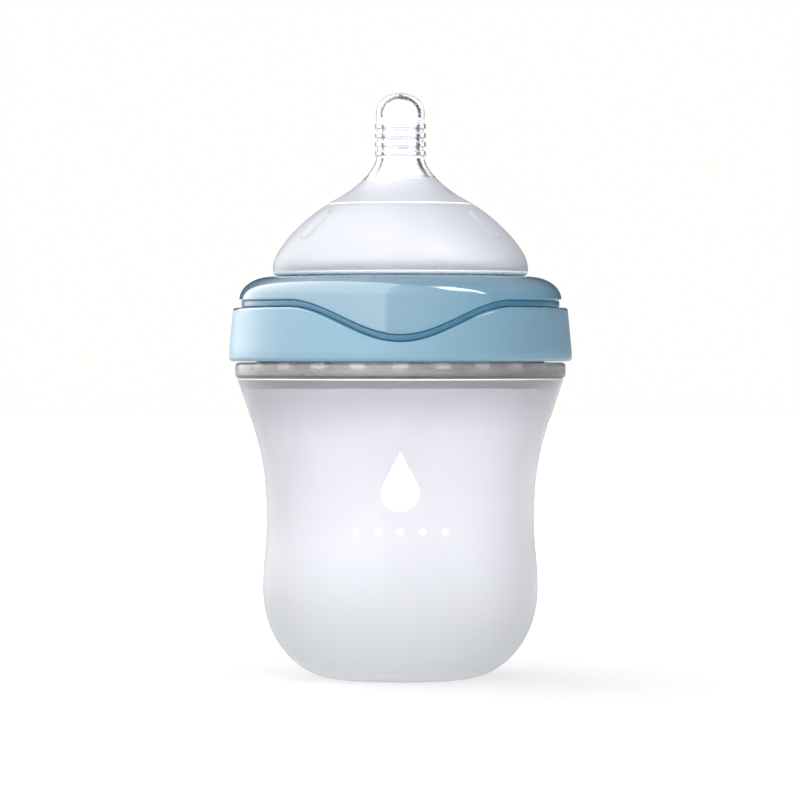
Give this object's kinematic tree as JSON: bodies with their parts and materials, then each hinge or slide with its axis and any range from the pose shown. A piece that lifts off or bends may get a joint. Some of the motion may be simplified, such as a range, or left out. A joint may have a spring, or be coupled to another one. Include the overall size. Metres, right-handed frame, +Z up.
{
  "type": "baby bottle",
  "caption": "Waisted frosted silicone feeding bottle on a flat base, with a see-through neck ring, a wavy two-tone blue screw collar and a wide dome nipple with a ringed clear teat.",
  "frame": {"origin": "centre of the standing ring, on the surface the bottle stands on", "axes": "+Z up along the bottle's axis to the tip of the teat, -Y towards the printed front, +X to the right of someone facing the front"},
  "size_m": [0.0822, 0.0822, 0.1403],
  "materials": {
    "frosted_silicone": "frosted translucent silicone",
    "clear_plastic": "see-through natural plastic, polished",
    "teat_silicone": "frosted silicone dome that turns clear and glossy at the teat",
    "gloss_blue": "glossy moulded plastic",
    "matte_blue": "fine matte moulded plastic",
    "white_ink": "thick white silicone ink"
  },
  "bodies": {
    "bottle": {"flask": "frosted_silicone", "neck_ring": "clear_plastic", "emblem": "white_ink", "scale_marks": "white_ink"},
    "nipple": {"nipple": "teat_silicone"},
    "collar": {"collar_ring": "gloss_blue", "collar_skirt": "matte_blue"}
  },
  "joints": [
    {"name": "nipple_lift", "type": "slide", "parent": "bottle", "child": "nipple", "axis": [0, 0, 1], "range_m": [0, 0.02]},
    {"name": "collar_turn", "type": "hinge", "parent": "nipple", "child": "collar", "pos_m": [0, 0, 0.086], "axis": [0, 0, 1], "range_deg": [0, 900]}
  ],
  "couplings": [
    {"joint": "nipple_lift", "follows": "collar_turn", "m_per_rad": 0.0012732}
  ]
}
